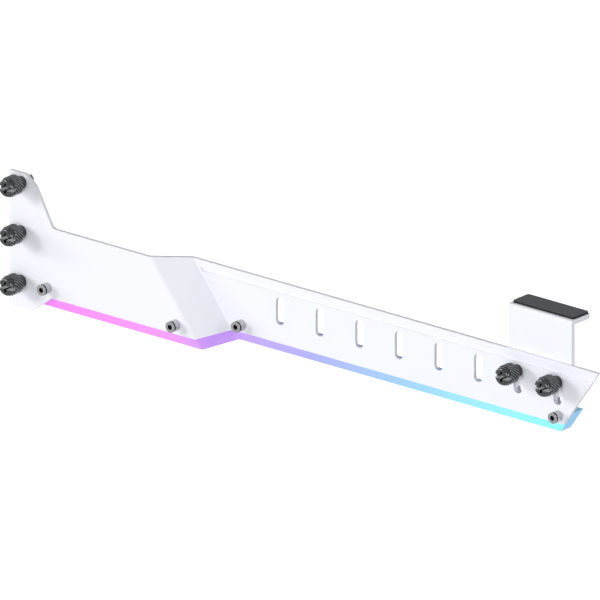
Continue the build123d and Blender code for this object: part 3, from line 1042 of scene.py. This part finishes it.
@dataclass
class CapScrew:
    """A polished cap screw that holds the light guide. It is modelled along +Z."""

    body: float = 2.2
    seat_chamfer: float = 0.12
    rim: float = 2.27
    rim_length: float = 0.45
    head_length: float = 3.9
    edge: float = 0.1
    groove: float = 1.8
    groove_length: float = 0.55
    groove_chamfer: float = 0.08
    groove_slack: float = 0.07
    socket_width: float = 2.0
    socket_depth: float = 1.3
    socket_slack: float = 0.02
    socket_edge: float = 0.03
    shank_length: float = 7.0
    thread: Thread = Thread(major=1.25, minor=1.02, pitch=0.45)

    def pattern(self) -> Workpiece:
        """Model the head with its rim, groove and hexagon socket, and the shank.

        Returns:
            The pattern piece.
        """
        neck = self.head_length - self.rim_length
        floor = neck - self.groove_length
        top = self.head_length
        head = Workpiece.ring("cap", self.thread.minor, 0, sides=64)
        outline = [
            (self.body - self.seat_chamfer, 0),
            (self.body, self.seat_chamfer),
            (self.body, floor - self.groove_chamfer),
            (self.body - self.groove_chamfer, floor),
            (self.groove, floor),
            (self.groove, neck),
            (self.rim - self.groove_chamfer, neck),
            (self.rim, neck + self.groove_chamfer),
            *rounded_rim(self.rim, top, self.edge, steps=6),
        ]
        head.close_ring()
        head.pick(Part.EDGES, lambda place: place.z < SAME_WITHIN)
        head.grow(outline, self.thread.minor, 0)
        head.close_ring()
        head.leave_edit()
        head.close_up()
        corner = self.socket_width / 2 / math.cos(math.pi / 6)
        bottom = top - self.socket_depth
        head.cut(Workpiece.prism("socket", corner, bottom, top + CUTTER_ABOVE, sides=6))
        head.break_edges(width=0.05, segments=2, sharper_than=40)
        head.join(self.thread.rod("rod", -self.shank_length, -NEAR_WITHIN, point=0.25))
        head.shade(angle=35)

        def in_shade(place: Vector) -> bool:
            """Tell whether a point of the head lies in its groove or its socket."""
            in_groove = floor - self.groove_slack < place.z < neck - NEAR_WITHIN
            within = math.hypot(place.x, place.y) < corner + self.socket_slack
            return in_groove or (within and bottom - NEAR_WITHIN < place.z < top - self.socket_edge)

        head.paint(POLISHED_STEEL)
        head.paint(SATIN_STEEL, lambda place: place.z > neck - NEAR_WITHIN)
        # Painted shade: the groove and the hexagon socket are near black.
        head.paint(DEEP_SHADE, in_shade)
        return head

    def build(self, seats: dict[str, Point]) -> None:
        """Copy the pattern to each seat.

        Args:
            seats: Seat point of each node.
        """
        pattern = self.pattern()
        for node, seat in seats.items():
            copy = pattern.copy_to(f"{node}_polished", on_front(*seat))
            finish_piece(copy, "bracket", node)
        pattern.discard()


@dataclass
class Pad:
    """The thin foam pad on the arm's flange."""

    corner: float = 1.0
    edge: float = 0.12

    def build(self) -> None:
        """Model the pad in the box of its node, with rounded corners and a soft upper edge."""
        low, high = (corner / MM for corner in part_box("arm_pad"))
        pad = Workpiece.block("arm_pad_foam", tuple(low), tuple(high))
        pad.edit(Part.EDGES)
        middle_z = (low.z + high.z) / 2
        pad.pick(Part.EDGES, lambda place: abs(place.z - middle_z) < NEAR_WITHIN)
        bpy.ops.mesh.bevel(offset=self.corner * MM, segments=6, affect="EDGES")
        pad.pick(Part.FACES, lambda place: place.z > high.z - NEAR_WITHIN)
        bpy.ops.mesh.bevel(offset=self.edge * MM, segments=4, affect="EDGES")
        pad.leave_edit()
        pad.shade(angle=40)
        pad.paint(DARK_FOAM)
        # Painted shade: the pad's sides are near black.
        pad.paint(FOAM_SIDE_PAINTED_SHADE, lambda place: place.z < high.z - self.edge)
        finish_piece(pad.object, "arm", "arm_pad")


@dataclass
class LightGuide:
    """The frosted light guide with its strip, chips and threaded inserts."""

    edge: float = 0.15
    chips: int = 16
    inserts: int = 4

    def build(self, nodes: dict[str, bpy.types.Object]) -> None:
        """Break the guide's edges and dress what is in it.

        Args:
            nodes: The frame's nodes by name.
        """
        guide = Workpiece.from_node("light_guide_frosted", nodes["light_guide"])
        guide.break_edges(self.edge)
        guide.shade(angle=35)
        guide.paint(LIGHT_GUIDE)
        finish_piece(guide.object, "bracket", "light_guide")
        paint_node(nodes["led_strip"], STRIP_FILM)
        for number in range(1, self.chips + 1):
            paint_node(nodes[f"led_chip_{number:02d}"], CHIP_HOUSING)
        for number in range(1, self.inserts + 1):
            paint_node(nodes[f"guide_insert_{number}"], BRASS)


def finish_piece(piece: bpy.types.Object, body: str, node: str) -> None:
    """Fix a painted piece to the frame and report it.

    Args:
        piece: The piece.
        body: The body that it rides on.
        node: The node that it stands for.
    """
    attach(piece, body)
    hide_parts(node)
    finishes = ", ".join(material.name for material in piece.data.materials)
    log.info("%s: %d faces, %s", piece.name, len(piece.data.polygons), finishes)


def paint_node(node: bpy.types.Object, finish: Finish) -> None:
    """Give a frame node its finish.

    Args:
        node: The frame's object.
        finish: The finish.
    """
    node.data.materials.clear()
    node.data.materials.append(finish.material())


@dataclass(frozen=True)
class Lamp:
    """A round soft lamp that faces the bracket."""

    name: str
    place: Point
    diameter: float
    power: float
    colour: Colour = WHITE

    def hang(self, target: Vector) -> None:
        """Hang the lamp.

        Args:
            target: Point that it faces, and that its place is counted from, in metres.
        """
        data = bpy.data.lights.new(self.name, "AREA")
        data.shape = "DISK"
        data.size = self.diameter
        data.energy = self.power
        data.color = self.colour
        lamp = bpy.data.objects.new(self.name, data)
        lamp.location = Vector(self.place) + target
        lamp.rotation_euler = (-Vector(self.place)).to_track_quat("-Z", "Y").to_euler()
        bpy.context.scene.collection.objects.link(lamp)


# Place in metres from the camera's aim, diameter in metres and power in watts.
LAMPS = (
    Lamp("Key lamp", (-1.8, -2.15, 0.93), 0.95, 29.5),
    Lamp("Fill lamp", (0.65, -1.85, 0.42), 0.9, 18.0, (0.985, 0.99, 1.0)),
    Lamp("Left lamp", (-2.6, -1.1, 0.6), 2.4, 21.0),
    Lamp("Edge lamp", (-2.75, -1.03, 0.55), 0.55, 13.0),
    Lamp("Side lamp", (2.82, 0.12, 0.96), 1.2, 30.0),
    Lamp("Back lamp", (-0.9, 2.8, -0.1), 0.6, 60.0),
)


@dataclass
class Studio:
    """White floor, soft lamps, pale surroundings and the camera.

    The aim and the floor's height are in millimetres, and the other distances in metres.
    """

    aim: Point = (130.66, 10.3, -0.98)
    azimuth: float = 40.0
    elevation: float = 20.0
    camera_distance: float = 5.0
    pixels_per_mm: float = 2.5861
    frame_pixels: float = 600.0
    surroundings: Colour = (0.98, 0.985, 1.0)
    ambient: float = 0.14
    floor_size: float = 24.0
    floor_x: float = 0.13
    floor_height: float = -420.0
    floor_colour: Colour = (0.6, 0.603, 0.606)
    floor_roughness: float = 0.9
    floor_lift: float = 0.85

    def build(self) -> None:
        """Set up the whole studio."""
        self.set_world()
        self.set_floor()
        for lamp in LAMPS:
            lamp.hang(Vector(self.aim) * MM)
        self.set_camera()
        bpy.context.scene.view_settings.view_transform = "Standard"

    def set_world(self) -> None:
        """Surround the object with soft pale light that the camera sees as white."""
        world = bpy.data.worlds.new("Studio")
        world.use_nodes = True
        bpy.context.scene.world = world
        graph = Graph(world.node_tree)
        background = world.node_tree.nodes["Background"]
        level = graph.math("MAXIMUM", self.seen_directly(graph), self.ambient)
        graph.feed(background, "Color", self.surroundings)
        graph.feed(background, "Strength", level)

    def seen_directly(self, graph: Graph) -> bpy.types.NodeSocket:
        """Tell camera, mirror and see-through rays from lighting ones.

        Args:
            graph: The nodes to add to.

        Returns:
            A socket that is 1 for those rays and 0 for the rest.
        """
        rays = graph.add("LightPath").outputs
        mirrored = graph.math("MAXIMUM", rays["Is Glossy Ray"], rays["Is Transmission Ray"])
        return graph.math("MAXIMUM", rays["Is Camera Ray"], mirrored)

    def set_floor(self) -> None:
        """Lay a pale floor well below the bracket, lifted to white where it is seen."""
        clear_selection()
        middle = (self.floor_x, 0, self.floor_height * MM)
        bpy.ops.mesh.primitive_plane_add(size=self.floor_size, location=middle)
        floor = bpy.context.active_object
        floor.name = "floor"
        material = bpy.data.materials.new("Floor")
        material.use_nodes = True
        graph = Graph(material.node_tree)
        shader = material.node_tree.nodes["Principled BSDF"]
        graph.feed(shader, "Base Color", self.floor_colour)
        graph.feed(shader, "Roughness", self.floor_roughness)
        graph.feed(shader, "Specular IOR Level", 0.0)
        graph.feed(shader, "Emission Color", WHITE)
        lift = graph.math("MULTIPLY", self.seen_directly(graph), self.floor_lift)
        graph.feed(shader, "Emission Strength", lift)
        floor.data.materials.append(material)

    def set_camera(self) -> None:
        """Place a parallel camera, since the photograph shows hardly any perspective."""
        data = bpy.data.cameras.new("Camera")
        data.type = "ORTHO"
        data.ortho_scale = self.frame_pixels / self.pixels_per_mm * MM
        camera = bpy.data.objects.new("Camera", data)
        turn, rise = math.radians(self.azimuth), math.radians(self.elevation)
        back = Vector((math.sin(turn) * math.cos(rise), -math.cos(turn) * math.cos(rise), math.sin(rise)))
        camera.location = Vector(self.aim) * MM + back * self.camera_distance
        camera.rotation_euler = (-back).to_track_quat("-Z", "Y").to_euler()
        bpy.context.scene.collection.objects.link(camera)
        bpy.context.scene.camera = camera


def main() -> None:
    """Build every piece in order."""
    logging.basicConfig(level=logging.INFO, format="%(message)s", stream=sys.stdout)
    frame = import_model()
    nodes = frame["nodes"]
    Studio().build()
    SheetWork().build(nodes)
    LightGuide().build(nodes)
    Pad().build()
    thumbscrew = Thumbscrew()
    grip = thumbscrew.knurled_grip()
    boss = thumbscrew.domed_boss()
    case_shank = thumbscrew.shank(end=5.5, neck=1.4, neck_length=1.5)
    arm_shank = thumbscrew.shank(end=4.5, neck=1.7, neck_length=0.1)
    thumbscrew.build(CASE_SEATS, case_shank, grip, boss)
    thumbscrew.build(ARM_SEATS, arm_shank, grip, boss)
    for pattern in (grip, boss, case_shank, arm_shank):
        pattern.discard()
    CapScrew().build(GUIDE_SEATS)


if __name__ == "__main__":
    main()
